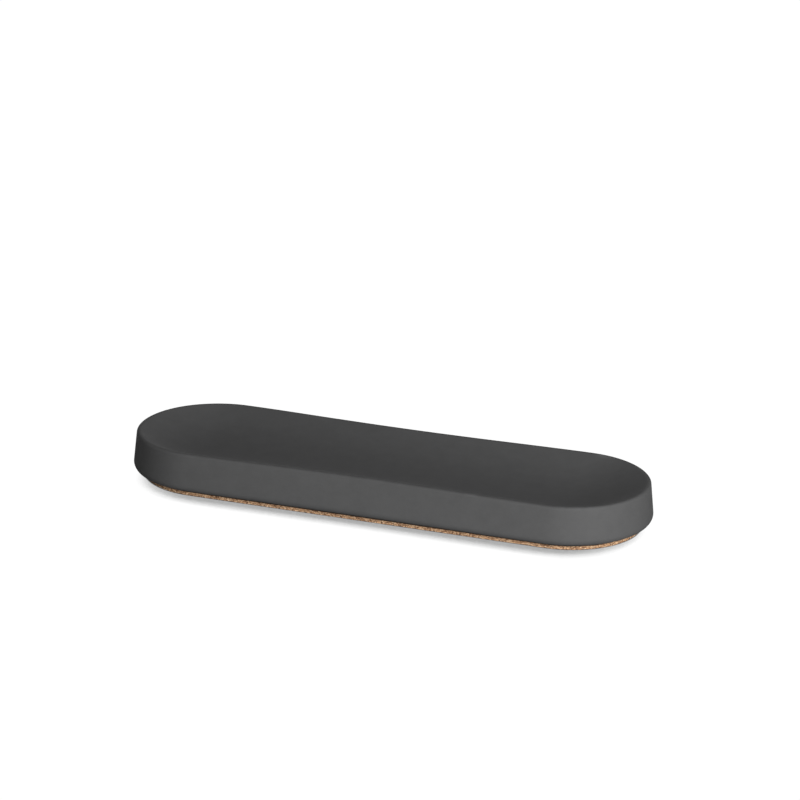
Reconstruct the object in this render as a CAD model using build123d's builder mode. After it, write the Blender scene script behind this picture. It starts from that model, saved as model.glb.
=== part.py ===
from build123d import *
import os
from math import asin, cos, degrees, radians, sqrt, tan

# Pen tray: a cast mineral body with a long scooped dish, standing on a die-cut cork base.
# Millimetres. +X runs along the tray and +Z is up. The origin is the middle of the cork's underside.

# Overall sizes, over the widest line of the body and from the desk to the rim
overall_length = 230.0
overall_width = 72.0
overall_height = 19.4

# Cork base, and the film of glue that holds it to the body
cork_thickness = 2.5
cork_setback = 1.8  # from the edge of the body's flat underside in to the cork's edge
adhesive_thickness = 0.2

# Cast body
wall_lean = 5.9  # degrees from upright at the round ends, inwards going up
rim_waist = 2.0  # how far each long side of the rim draws in at mid-length
foot_radius = 2.9  # rounding from the wall to the underside
dish_depth = 7.0  # from the rim down to the floor of the dish, at its round ends
rim_width = 1.7  # flat of the rim, with its edges sharp
rim_outer_radius = 1.2
most_rim_rounding = 0.7  # the share of the rim's flat that the rounding of its outer edge may reach

# The round ends share one centre at each end of the tray
end_centre = (overall_length - overall_width) / 2
body_bottom = cork_thickness + adhesive_thickness
body_height = overall_height - body_bottom

# The sharp foot outline stands out by what its rounding takes off, so the rounded foot has the overall width
lean = radians(wall_lean)
foot_overshoot = foot_radius * (tan(lean) + 1 / cos(lean) - 1)
foot_end_radius = overall_width / 2 + foot_overshoot
rim_end_radius = foot_end_radius - body_height * tan(lean)

# Each long side of the rim leaves the round ends straight and draws in on one smooth curve. Its control points
# are evenly spaced, and the curve comes three eighths of the way to the middle one.
side_step = end_centre / 2
rim_side_pulls = (0, 0, rim_waist * 8 / 3, 0, 0)
rim_side_points = [
    (step * side_step - end_centre, rim_end_radius - pull) for step, pull in enumerate(rim_side_pulls)
]

# The dish is what a large ball presses out when it is rolled from one end centre to the other. Its path rises to
# mid-length as the rim draws in there, on two tangent arcs from each end, so the rim has one width all round.
dish_end_radius = rim_end_radius - rim_width
ball_radius = (dish_end_radius**2 + dish_depth**2) / (2 * dish_depth)
ball_height = overall_height - dish_depth + ball_radius
waist_depth = ball_radius - sqrt(ball_radius**2 - (dish_end_radius - rim_waist) ** 2)
path_rise = dish_depth - waist_depth
path_radius = ((end_centre / 2) ** 2 + (path_rise / 2) ** 2) / path_rise
path_angle = degrees(asin(end_centre / 2 / path_radius))

cork_end_radius = overall_width / 2 - foot_radius - cork_setback


def close_outline(side):
    """Carries a long side round the end on a tangent arc, and mirrors both to close the outline."""
    end = TangentArc(side @ 1, ((side @ 1).X, -(side @ 1).Y), tangent=side % 1)
    mirror(side, about=Plane.XZ)
    mirror(end, about=Plane.YZ)


# Cast body: straight-sided foot, waisted rim, and a ruled wall between the two
with BuildPart() as tray_body:
    with BuildSketch(Plane.XY.offset(body_bottom)):
        with BuildLine():
            foot_side = Line((-end_centre, foot_end_radius), (end_centre, foot_end_radius))
            close_outline(foot_side)
        make_face()
    with BuildSketch(Plane.XY.offset(overall_height)):
        with BuildLine():
            rim_side = Bezier(*rim_side_points)
            close_outline(rim_side)
        make_face()
    loft(ruled=True)

    # Dish, cut by the rolled ball: half a ball at each end, and two swept lengths from there to the crest
    crest_height = ball_height + path_rise
    for side in (-1, 1):
        end = Vector(side * end_centre, 0, ball_height)
        with Locations(end):
            Sphere(ball_radius, rotation=(0, 90 * side, 0), arc_size1=0, align=None, mode=Mode.SUBTRACT)
        with BuildSketch(Plane(end, z_dir=(1, 0, 0))):
            Circle(ball_radius)
        revolve(
            axis=Axis((end.X, 0, ball_height + path_radius), (0, side, 0)),
            revolution_arc=path_angle,
            mode=Mode.SUBTRACT,
        )
        with BuildSketch(Plane((0, 0, crest_height), z_dir=(1, 0, 0))):
            Circle(ball_radius)
        revolve(
            axis=Axis((0, 0, crest_height - path_radius), (0, side, 0)),
            revolution_arc=path_angle,
            mode=Mode.SUBTRACT,
        )

    # Rounded rim and foot
    rim_flat = tray_body.faces().sort_by(Axis.Z)[-1]
    fillet(rim_flat.outer_wire().edges(), min(rim_outer_radius, most_rim_rounding * rim_width))
    underside = tray_body.faces().sort_by(Axis.Z)[0]
    fillet(underside.edges(), foot_radius)

# Film of glue, cut together with the cork
with BuildPart() as adhesive_sheet:
    with BuildSketch(Plane.XY.offset(cork_thickness)):
        SlotCenterToCenter(2 * end_centre, 2 * cork_end_radius)
    extrude(amount=adhesive_thickness)

# Die-cut sheet of cork that the tray stands on
with BuildPart() as cork_base:
    with BuildSketch(Plane.XY):
        SlotCenterToCenter(2 * end_centre, 2 * cork_end_radius)
    extrude(amount=cork_thickness)

os.makedirs("parts", exist_ok=True)
tray_body.part.label = "tray_body"
export_step(tray_body.part, "parts/tray_body.step")
adhesive_sheet.part.label = "adhesive_sheet"
export_step(adhesive_sheet.part, "parts/adhesive_sheet.step")
cork_base.part.label = "cork_base"
export_step(cork_base.part, "parts/cork_base.step")
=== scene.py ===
from math import cos, pi, radians, sin, sqrt, tan

import bpy
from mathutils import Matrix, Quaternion, Vector


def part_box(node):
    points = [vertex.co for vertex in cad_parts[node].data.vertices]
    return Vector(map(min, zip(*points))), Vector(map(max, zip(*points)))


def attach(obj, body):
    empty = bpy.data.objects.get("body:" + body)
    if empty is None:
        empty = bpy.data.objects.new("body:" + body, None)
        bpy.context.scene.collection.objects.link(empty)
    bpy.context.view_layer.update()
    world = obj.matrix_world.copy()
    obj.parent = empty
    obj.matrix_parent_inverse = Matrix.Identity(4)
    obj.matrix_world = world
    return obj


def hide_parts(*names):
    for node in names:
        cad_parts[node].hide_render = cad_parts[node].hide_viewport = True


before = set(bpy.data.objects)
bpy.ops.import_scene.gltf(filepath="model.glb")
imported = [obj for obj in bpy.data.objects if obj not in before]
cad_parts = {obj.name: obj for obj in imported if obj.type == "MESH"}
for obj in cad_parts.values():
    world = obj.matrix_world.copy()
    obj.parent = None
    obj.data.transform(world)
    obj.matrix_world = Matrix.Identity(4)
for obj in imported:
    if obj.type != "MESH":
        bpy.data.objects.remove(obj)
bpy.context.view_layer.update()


# Tray body. One casting in a fine dark grey mineral mix, poured in a smooth mould and left matt. Its ends
# are round, its wall leans in to a rim that is narrower at mid-length, and the dish is the hollow that a
# large ball would press out if it were rolled from one end centre to the other, rising a little on the way.


class Wire:
    """A node socket in an expression: the operators add Math nodes, and add() puts in any other node."""

    def __init__(self, tree, socket=None):
        self.tree = tree
        self.socket = socket

    def add(self, kind, settings=(), inputs=(), output=None):
        """Adds a node, applies its settings, fills its sockets with values or wires, and gives an output."""
        node = self.tree.nodes.new(kind)
        for name, setting in dict(settings).items():
            if name == "stops":
                self.set_stops(node.color_ramp, setting)
            else:
                setattr(node, name, setting)
        for name, value in dict(inputs).items():
            socket = self.find(node.inputs, name)
            for item in value if isinstance(value, list) else [value]:
                if isinstance(item, Wire):
                    self.tree.links.new(item.socket, socket)
                else:
                    socket.default_value = item
        return Wire(self.tree, self.find(node.outputs, output)) if node.outputs else None

    def find(self, sockets, name):
        """The socket with this identifier, or the first one where none is named."""
        return next(socket for socket in sockets if name in (None, socket.identifier))

    def set_stops(self, ramp, stops):
        """Gives a ramp its colours. The first stop is at 0 and the last at 1."""
        ramp.elements[0].color = (*stops[0][1], 1.0)
        ramp.elements[1].color = (*stops[-1][1], 1.0)
        for position, colour in stops[1:-1]:
            ramp.elements.new(position).color = (*colour, 1.0)

    def other(self, output):
        """Another output of the node that this wire comes from."""
        return Wire(self.tree, self.find(self.socket.node.outputs, output))

    def math(self, operation, *others, clamp=False):
        values = zip(("Value", "Value_001", "Value_002"), (self, *others))
        return self.add("ShaderNodeMath", {"operation": operation, "use_clamp": clamp}, dict(values))

    def clamp(self):
        return self.math("ADD", 0.0, clamp=True)

    def __add__(self, other):
        return self.math("ADD", other)

    def __sub__(self, other):
        return self.math("SUBTRACT", other)

    def __mul__(self, other):
        return self.math("MULTIPLY", other)

    def __truediv__(self, other):
        return self.math("DIVIDE", other)

    def __pow__(self, other):
        return self.math("POWER", other)

    def __rsub__(self, other):
        return self.add("ShaderNodeMath", {"operation": "SUBTRACT"}, {"Value": other, "Value_001": self})

    __radd__ = __add__
    __rmul__ = __mul__


def new_shape(name, sizes):
    """Starts a geometry tree with a named input for each size, and gives a wire for each."""
    tree = bpy.data.node_groups.new(name, "GeometryNodeTree")
    tree.interface.new_socket("Geometry", in_out="OUTPUT", socket_type="NodeSocketGeometry")
    for size in sizes:
        tree.interface.new_socket(size, in_out="INPUT", socket_type="NodeSocketFloat")
    group_input = tree.nodes.new("NodeGroupInput")
    return Wire(tree), {size: Wire(tree, group_input.outputs[size]) for size in sizes}


def make_piece(name, start, shape, sizes, material):
    """Ends a geometry tree, runs it with these sizes, and keeps the result as a plain mesh object."""
    shape = start.add("GeometryNodeRealizeInstances", inputs={"Geometry": shape})
    shape = start.add("GeometryNodeSetMaterial", inputs={"Geometry": shape, "Material": material})
    group_output = start.tree.nodes.new("NodeGroupOutput")
    start.tree.links.new(shape.socket, group_output.inputs["Geometry"])
    piece = bpy.data.objects.new(name, bpy.data.meshes.new(name + "_start"))
    bpy.context.scene.collection.objects.link(piece)
    modifier = piece.modifiers.new("shape", "NODES")
    modifier.node_group = start.tree
    for socket in start.tree.interface.items_tree:
        if socket.in_out == "INPUT":
            modifier[socket.identifier] = sizes[socket.name]
    made = piece.evaluated_get(bpy.context.evaluated_depsgraph_get())
    mesh = bpy.data.meshes.new_from_object(made)
    piece.modifiers.remove(modifier)
    piece.data = mesh
    return piece


def lay_out(start, end_centre):
    """How a flat sheet goes round the tray: its row, its place on the spine, and the way outwards."""
    sheet = start.add("ShaderNodeSeparateXYZ", inputs={"Vector": start.add("GeometryNodeInputPosition")})
    turn = sheet + 2.0
    row = sheet.other("Y") + 0.5
    half_turns = turn.clamp() + (turn - 2.0).clamp()
    spine = end_centre * (1.0 - 2.0 * (turn - 1.0).clamp() + 2.0 * (turn - 3.0).clamp())
    angle = pi * half_turns - pi / 2
    return row, spine, angle.math("COSINE"), angle.math("SINE")


def wrap(start, layout, columns, rows, reach, height):
    """A strip round the tray. Its rows stand at a reach from the spine and at a height."""
    row, spine, out_x, out_y = layout
    counts = {"Size X": 4.0, "Size Y": 1.0, "Vertices X": 4 * columns + 1, "Vertices Y": rows + 1}
    sheet = start.add("GeometryNodeMeshGrid", inputs=counts)
    place = start.add(
        "ShaderNodeCombineXYZ", inputs={"X": spine + reach * out_x, "Y": reach * out_y, "Z": height}
    )
    return start.add("GeometryNodeSetPosition", inputs={"Geometry": sheet, "Position": place})


body_low, body_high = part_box("tray_body")
lean = radians(5.9)
foot_radius = 0.0029
foot_overshoot = foot_radius * (tan(lean) + 1 / cos(lean) - 1)
foot_reach = body_high.y + foot_overshoot
body_height = body_high.z - body_low.z
rim_reach = foot_reach - body_height * tan(lean)
rim_waist = 0.002
rim_flat = 0.0017
dish_depth = 0.007
dish_reach = rim_reach - rim_flat
ball_radius = (dish_reach**2 + dish_depth**2) / (2 * dish_depth)
waist_depth = ball_radius - sqrt(ball_radius**2 - (dish_reach - rim_waist) ** 2)
body_sizes = {
    "end centre": body_high.x - body_high.y,
    "bottom": body_low.z,
    "rim height": body_high.z,
    "foot reach": foot_reach,
    "rim reach": rim_reach,
    "rim waist": rim_waist,
    "foot radius": foot_radius,
    "rim outer radius": 0.0012,
    "rim inner radius": 0.0027,
    "ball radius": ball_radius,
    "dish depth": dish_depth,
    "path rise": dish_depth - waist_depth,
    "unevenness": 0.00006,
}
start, size = new_shape("tray casting", body_sizes)
layout = lay_out(start, size["end centre"])
row, spine = layout[:2]
rim = size["rim height"]

# The wall leans further in towards mid-length, where the rim is waisted
waist_share = (1.0 - (spine / size["end centre"]) ** 2.0) ** 2.0
slope = (size["foot reach"] - size["rim reach"] + size["rim waist"] * waist_share) / (rim - size["bottom"])
wall_lean = slope.math("ARCTANGENT")
upright = wall_lean.math("COSINE")
foot_round = size["foot radius"]
foot_z = size["bottom"] + foot_round
foot_r = size["foot reach"] - foot_round * slope - foot_round / upright
edge_round = size["rim outer radius"]
edge_z = rim - edge_round
edge_r = size["foot reach"] - (edge_z - size["bottom"]) * slope - edge_round / upright

# The outer skin lies like a belt round the foot's rounding and the rim's, with the flat wall between
on_foot = (3.0 * row).clamp()
on_wall = (3.0 * row - 1.0).clamp()
on_edge = (3.0 * row - 2.0).clamp()
facing = (wall_lean + pi / 2) * on_foot + (pi / 2 - wall_lean) * on_edge - pi / 2
belt_round = foot_round + (edge_round - foot_round) * on_wall
skin_r = foot_r + (edge_r - foot_r) * on_wall + belt_round * facing.math("COSINE")
skin_z = foot_z + (edge_z - foot_z) * on_wall + belt_round * facing.math("SINE")

# The inner edge of the rim rolls over on to the ball's surface. The ball's path rises to mid-length.
ball = size["ball radius"]
ball_z = rim - size["dish depth"] + ball + size["path rise"] * waist_share
lip_round = size["rim inner radius"]
lip_r = ((ball + lip_round) ** 2.0 - (ball_z - rim + lip_round) ** 2.0) ** 0.5
dish_edge = (lip_r / (ball + lip_round)).math("ARCSINE")
over_lip = dish_edge * row
down_dish = dish_edge * (1.0 - row)
over_lip_r = lip_r - lip_round * over_lip.math("SINE")
over_lip_z = rim - lip_round + lip_round * over_lip.math("COSINE")
dish_r = ball * down_dish.math("SINE")
dish_z = ball_z - ball * down_dish.math("COSINE")

body_columns = 96
strips = [
    wrap(start, layout, body_columns, 4, foot_r * row, size["bottom"]),
    wrap(start, layout, body_columns, 36, skin_r, skin_z),
    wrap(start, layout, body_columns, 3, edge_r + (lip_r - edge_r) * row, rim),
    wrap(start, layout, body_columns, 6, over_lip_r, over_lip_z),
    wrap(start, layout, body_columns, 28, dish_r, dish_z),
]
weld_gap = 1e-6
skin = start.add("GeometryNodeJoinGeometry", inputs={"Geometry": strips})
skin = start.add("GeometryNodeMergeByDistance", inputs={"Geometry": skin, "Distance": weld_gap})

# A casting is never quite true: broad, shallow swells under the smooth skin
swell_scale = 45.0
swell = start.add("ShaderNodeTexNoise", inputs={"Scale": swell_scale, "Detail": 1.0})
normal = start.add("GeometryNodeInputNormal")
push = start.add(
    "ShaderNodeVectorMath",
    {"operation": "SCALE"},
    {"Vector": normal, "Scale": (swell - 0.5) * size["unevenness"]},
)
skin = start.add("GeometryNodeSetPosition", inputs={"Geometry": skin, "Offset": push})
skin = start.add("GeometryNodeSetShadeSmooth", inputs={"Geometry": skin})


def new_finish(name):
    """Starts a material, and gives it with a wire to add its nodes to."""
    material = bpy.data.materials.new(name)
    material.use_nodes = True
    material.node_tree.nodes.clear()
    return material, Wire(material.node_tree)


def coat(start, inputs):
    """Ends a material in one shader with these inputs."""
    shader = start.add("ShaderNodeBsdfPrincipled", inputs=inputs)
    start.add("ShaderNodeOutputMaterial", inputs={"Surface": shader})


def mix(start, share, first, second):
    """A colour between two colours."""
    settings = {"data_type": "RGBA"}
    inputs = {"Factor_Float": share, "A_Color": first, "B_Color": second}
    return start.add("ShaderNodeMix", settings, inputs, "Result_Color")


cast_dark = (0.0734, 0.0734, 0.0739, 1.0)
cast_pale = (0.0832, 0.0832, 0.0837, 1.0)
rubbed_highlight_grey = (0.125, 0.125, 0.126, 1.0)
mottle_scale = 150.0
mottle_contrast = 3.0
grain_scale = 2600.0
grain_depth = 0.00005
cast_mineral, paint = new_finish("cast mineral")
where = paint.add("ShaderNodeTexCoord", output="Object")
clouds = paint.add(
    "ShaderNodeTexNoise", inputs={"Vector": where, "Scale": mottle_scale, "Detail": 5.0, "Roughness": 0.72}
)
mottled = (mottle_contrast * (clouds - 0.5) + 0.5).clamp()
grain = paint.add("ShaderNodeTexNoise", inputs={"Vector": where, "Scale": grain_scale, "Detail": 2.0})
grey = mix(paint, 0.75 * mottled + 0.25 * grain, cast_dark, cast_pale)

# Short lengths of the rim's edges are a little paler: partly wear from handling, partly a painted highlight,
# with one pale length set on the rim's rounding near the right-front corner
worn_highlight_band = 0.0009
scuff_highlight_draw = 3.0
scuff_highlight_scale = 55.0
scuff_highlight_contrast = 8.0
scuff_highlight_level = 0.5875
scuffs_and_highlight = paint.add(
    "ShaderNodeTexNoise",
    {"noise_dimensions": "4D"},
    {"Vector": where, "W": scuff_highlight_draw, "Scale": scuff_highlight_scale, "Detail": 3.0},
)
height = paint.add("ShaderNodeSeparateXYZ", inputs={"Vector": where}).other("Z")
near_rim = ((height - body_high.z) / worn_highlight_band + 1.0).clamp()
rubbed_and_highlit = near_rim * (scuff_highlight_contrast * (scuffs_and_highlight - scuff_highlight_level)).clamp()
grey = mix(paint, 0.6 * rubbed_and_highlit, grey, rubbed_highlight_grey)
skin_bump = paint.add("ShaderNodeBump", inputs={"Strength": 0.2, "Distance": grain_depth, "Height": grain})
cast_finish = {
    "Base Color": grey,
    "Roughness": 0.74 + 0.025 * mottled,
    "Specular IOR Level": 0.2,
    "Normal": skin_bump,
}
coat(paint, cast_finish)

cast_body = make_piece("cast_body", start, skin, body_sizes, cast_mineral)
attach(cast_body, "root")
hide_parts("tray_body")


# Glue film. A thin sheet of clear acrylic glue on the back of the cork, cut out with it and pressed to the
# flat underside. Only its edge shows, as a dark line in the shade of the foot; its colour is painted near
# black as painted shade for that line, with a little dust.
film_painted_shade = (0.05, 0.036, 0.022, 1.0)
film_dusty = (0.13, 0.10, 0.07, 1.0)
dust_scale = 900.0
film_finish, paint = new_finish("glue film")
where = paint.add("ShaderNodeTexCoord", output="Object")
dust = paint.add("ShaderNodeTexNoise", inputs={"Vector": where, "Scale": dust_scale, "Detail": 3.0})
film_colour = mix(paint, dust, film_painted_shade, film_dusty)
coat(paint, {"Base Color": film_colour, "Roughness": 0.35 + 0.3 * dust})
glue_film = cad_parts["adhesive_sheet"]
glue_film.data.materials.clear()
glue_film.data.materials.append(film_finish)


# Cork base. Pressed from ground cork granules with a binder, sanded flat, and die-cut a little smaller than
# the foot, so its torn edge shows as a brown line under the tray. The glue film holds it on.
granule_scale = 1800.0
granule_squash = 1.35
wobble_scale = 3000.0
wobble_size = 0.0002
seam_sharpness = 6.0


def granules(start, where):
    """The pressed granules: a number of its own for each, and a share that falls to 0 at the seams."""
    squashed = start.add(
        "ShaderNodeVectorMath",
        {"operation": "MULTIPLY"},
        {"Vector": where, "Vector_001": (1.0, 1.0, granule_squash)},
    )
    wobble = start.add(
        "ShaderNodeTexNoise", inputs={"Vector": squashed, "Scale": wobble_scale}, output="Color"
    )
    bent = start.add(
        "ShaderNodeVectorMath",
        {"operation": "MULTIPLY_ADD"},
        {"Vector": wobble, "Vector_001": (wobble_size, wobble_size, wobble_size), "Vector_002": squashed},
    )
    cells = {"Vector": bent, "Scale": granule_scale}
    each = start.add("ShaderNodeTexVoronoi", inputs=cells, output="Color")
    lot = start.add("ShaderNodeSeparateXYZ", inputs={"Vector": each})
    seam = start.add("ShaderNodeTexVoronoi", {"feature": "DISTANCE_TO_EDGE"}, cells)
    return lot, (seam * seam_sharpness).clamp()


cork_low, cork_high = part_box("cork_base")
cork_sizes = {
    "end centre": cork_high.x - cork_high.y,
    "reach": cork_high.y,
    "thickness": cork_high.z,
    "torn depth": 0.00012,
}
start, size = new_shape("cork sheet", cork_sizes)
layout = lay_out(start, size["end centre"])
row = layout[0]
cork_columns = 680
strips = [
    wrap(start, layout, cork_columns, 6, size["reach"] * row, 0.0),
    wrap(start, layout, cork_columns, 14, size["reach"] * 1.0, size["thickness"] * row),
    wrap(start, layout, cork_columns, 2, size["reach"] * (1.0 - row), size["thickness"]),
]
slab = start.add("GeometryNodeJoinGeometry", inputs={"Geometry": strips})
slab = start.add("GeometryNodeMergeByDistance", inputs={"Geometry": slab, "Distance": weld_gap})

# On the cut edge each granule is torn off at a depth of its own, and the seams are the deepest
lot, on_granule = granules(start, start.add("GeometryNodeInputPosition"))
outwards = start.add("ShaderNodeSeparateXYZ", inputs={"Vector": start.add("GeometryNodeInputNormal")})
on_edge = outwards.other("Z").math("ABSOLUTE").math("LESS_THAN", 0.9)
inwards = -1.0 * size["torn depth"] * (1.0 - on_granule * (0.4 + 0.6 * lot)) * on_edge
pull = start.add(
    "ShaderNodeCombineXYZ", inputs={"X": outwards.other("X") * inwards, "Y": outwards.other("Y") * inwards}
)
slab = start.add("GeometryNodeSetPosition", inputs={"Geometry": slab, "Offset": pull})
slab = start.add("GeometryNodeSetShadeSmooth", inputs={"Geometry": slab})
sharp = start.add("GeometryNodeInputMeshEdgeAngle").math("GREATER_THAN", radians(50))
slab = start.add(
    "GeometryNodeSetShadeSmooth",
    {"domain": "EDGE"},
    {"Geometry": slab, "Selection": sharp, "Shade Smooth": False},
)

cork_finish, paint = new_finish("pressed cork")
where = paint.add("ShaderNodeTexCoord", output="Object")
lot, on_granule = granules(paint, where)
cork_stops = [
    (0.0, (0.13, 0.060, 0.028)),
    (0.2, (0.36, 0.180, 0.088)),
    (0.45, (0.60, 0.335, 0.175)),
    (0.75, (0.78, 0.490, 0.275)),
    (1.0, (0.90, 0.640, 0.410)),
]
binder_brown = (0.09, 0.05, 0.028, 1.0)
granule_colour = paint.add("ShaderNodeValToRGB", {"stops": cork_stops}, {"Fac": lot})
cork_colour = mix(paint, on_granule, binder_brown, granule_colour)

# The upper part of the edge, under the foot, is painted nearly black: painted shade where the foot's
# overhang shields it
under_foot_shade_bottom = 0.00125
under_foot_shade_fade = 0.00025
painted_shade_black = (0.012, 0.007, 0.005, 1.0)
height = paint.add("ShaderNodeSeparateXYZ", inputs={"Vector": where}).other("Z")
painted_under_foot_shade = ((height - under_foot_shade_bottom) / under_foot_shade_fade).clamp()
cork_colour = mix(paint, 0.97 * painted_under_foot_shade, cork_colour, painted_shade_black)
granule_depth = 0.0002
cork_bump = paint.add(
    "ShaderNodeBump", inputs={"Strength": 0.6, "Distance": granule_depth, "Height": on_granule}
)
coat(paint, {"Base Color": cork_colour, "Roughness": 0.85, "Normal": cork_bump})

cork_sheet = make_piece("cork_sheet", start, slab, cork_sizes, cork_finish)
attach(cork_sheet, "root")
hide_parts("cork_base")


# Table and light. A white sweep that turns up far away all round and shows as plain white, with a soft
# shadow painted into its glow around the tray. The key lamp stands low in front on the right, with a weak
# lamp overhead and a small one low behind.
sweep_rings = [(9.0, 0.0), (10.0, 0.15), (11.0, 1.2)]
sweep_sides = 48
sweep_points = []
for ring_radius, ring_height in sweep_rings:
    for side in range(sweep_sides):
        turn = 2 * pi * side / sweep_sides
        sweep_points.append((ring_radius * cos(turn), ring_radius * sin(turn), ring_height))
sweep_faces = [tuple(range(sweep_sides))]
for ring in range(len(sweep_rings) - 1):
    for side in range(sweep_sides):
        inner = ring * sweep_sides + side
        inner_next = ring * sweep_sides + (side + 1) % sweep_sides
        sweep_faces.append((inner, inner + sweep_sides, inner_next + sweep_sides, inner_next))
sweep_mesh = bpy.data.meshes.new("sweep")
sweep_mesh.from_pydata(sweep_points, [], sweep_faces)
sweep = bpy.data.objects.new("sweep", sweep_mesh)
bpy.context.scene.collection.objects.link(sweep)

# Seen directly, the paper is white. Mirror images of it turn white beyond the tray's own shadow, and all
# other light falls on plain grey paper.
mirror_start = 0.16
mirror_fade = 0.2
white_paper, paint = new_finish("white paper")
rays = paint.add("ShaderNodeLightPath", output="Is Camera Ray")
where = paint.add("ShaderNodeTexCoord", output="Object")
away = paint.add("ShaderNodeVectorMath", {"operation": "LENGTH"}, {"Vector": where}, "Value")
beyond_tray = ((away - mirror_start) / mirror_fade).clamp()
mirrored = (rays.other("Is Glossy Ray") + rays.other("Is Transmission Ray")) * beyond_tray
seen = (rays + mirrored).clamp()

# The soft shadow is painted into the glow, on the side that the tray shields, with a thin painted dark line
# where cork meets paper
white_level = 1.03
shadow_reach = 0.0145
shadow_gain = 2.95
shadow_depth = 0.64
contact_reach = 0.0008
light_side = paint.add("ShaderNodeCombineXYZ", inputs={"X": -0.15, "Y": 0.95, "Z": 0.3})
open_sky = paint.add(
    "ShaderNodeAmbientOcclusion", {"samples": 16}, {"Distance": shadow_reach, "Normal": light_side}, "AO"
)
crevice = paint.add("ShaderNodeAmbientOcclusion", {"samples": 16}, {"Distance": contact_reach}, "AO")
lit = (shadow_gain * open_sky - shadow_depth).clamp() * crevice**4.0
glow = paint.add("ShaderNodeEmission", inputs={"Color": white_level * lit})
paper_grey = (0.46, 0.46, 0.46, 1.0)
paper = paint.add("ShaderNodeBsdfDiffuse", inputs={"Color": paper_grey})
surface = paint.add("ShaderNodeMixShader", inputs={"Fac": seen, "Shader": paper, "Shader_001": glow})
paint.add("ShaderNodeOutputMaterial", inputs={"Surface": surface})
sweep_mesh.materials.append(white_paper)

sky_strength = 0.165
world = bpy.data.worlds.new("studio")
world.use_nodes = True
sky = world.node_tree.nodes["Background"]
sky.inputs["Color"].default_value = (1.0, 1.0, 1.0, 1.0)
sky.inputs["Strength"].default_value = sky_strength
bpy.context.scene.world = world
lamp_distance = 0.9


def soft_lamp(name, round_to_right, height, side, power):
    """A square soft box that faces the tray. Its angles are in degrees, the first from straight in front."""
    turn = radians(round_to_right)
    rise = radians(height)
    place = lamp_distance * Vector((sin(turn) * cos(rise), -cos(turn) * cos(rise), sin(rise)))
    light = bpy.data.lights.new(name, "AREA")
    light.size = side
    light.energy = power
    lamp = bpy.data.objects.new(name, light)
    lamp.location = place
    lamp.rotation_euler = (-place).to_track_quat("-Z", "Y").to_euler()
    bpy.context.scene.collection.objects.link(lamp)
    return lamp


soft_lamp("key_lamp", round_to_right=43.0, height=18.5, side=0.45, power=9.75)
soft_lamp("top_lamp", round_to_right=0.0, height=90.0, side=0.45, power=0.4)
back_lamp = soft_lamp("back_lamp", round_to_right=-160.0, height=8.0, side=0.24, power=6.0)
back_lamp.visible_glossy = False

# Camera. A long lens, a little above the table and to the right of the tray's middle.
camera_place = Vector((0.46233, -1.27403, 0.51472))
camera_aim = Vector((-0.00096, 0.01446, 0.03855))
camera_roll = radians(0.94)
lens = bpy.data.cameras.new("camera")
lens.sensor_width = 36.0
lens.lens = 153.46
camera = bpy.data.objects.new("camera", lens)
camera.location = camera_place
camera.rotation_mode = "QUATERNION"
level_view = (camera_aim - camera_place).to_track_quat("-Z", "Y")
camera.rotation_quaternion = level_view @ Quaternion((0, 0, 1), camera_roll)
bpy.context.scene.collection.objects.link(camera)
bpy.context.scene.camera = camera
bpy.context.scene.view_settings.view_transform = "Standard"
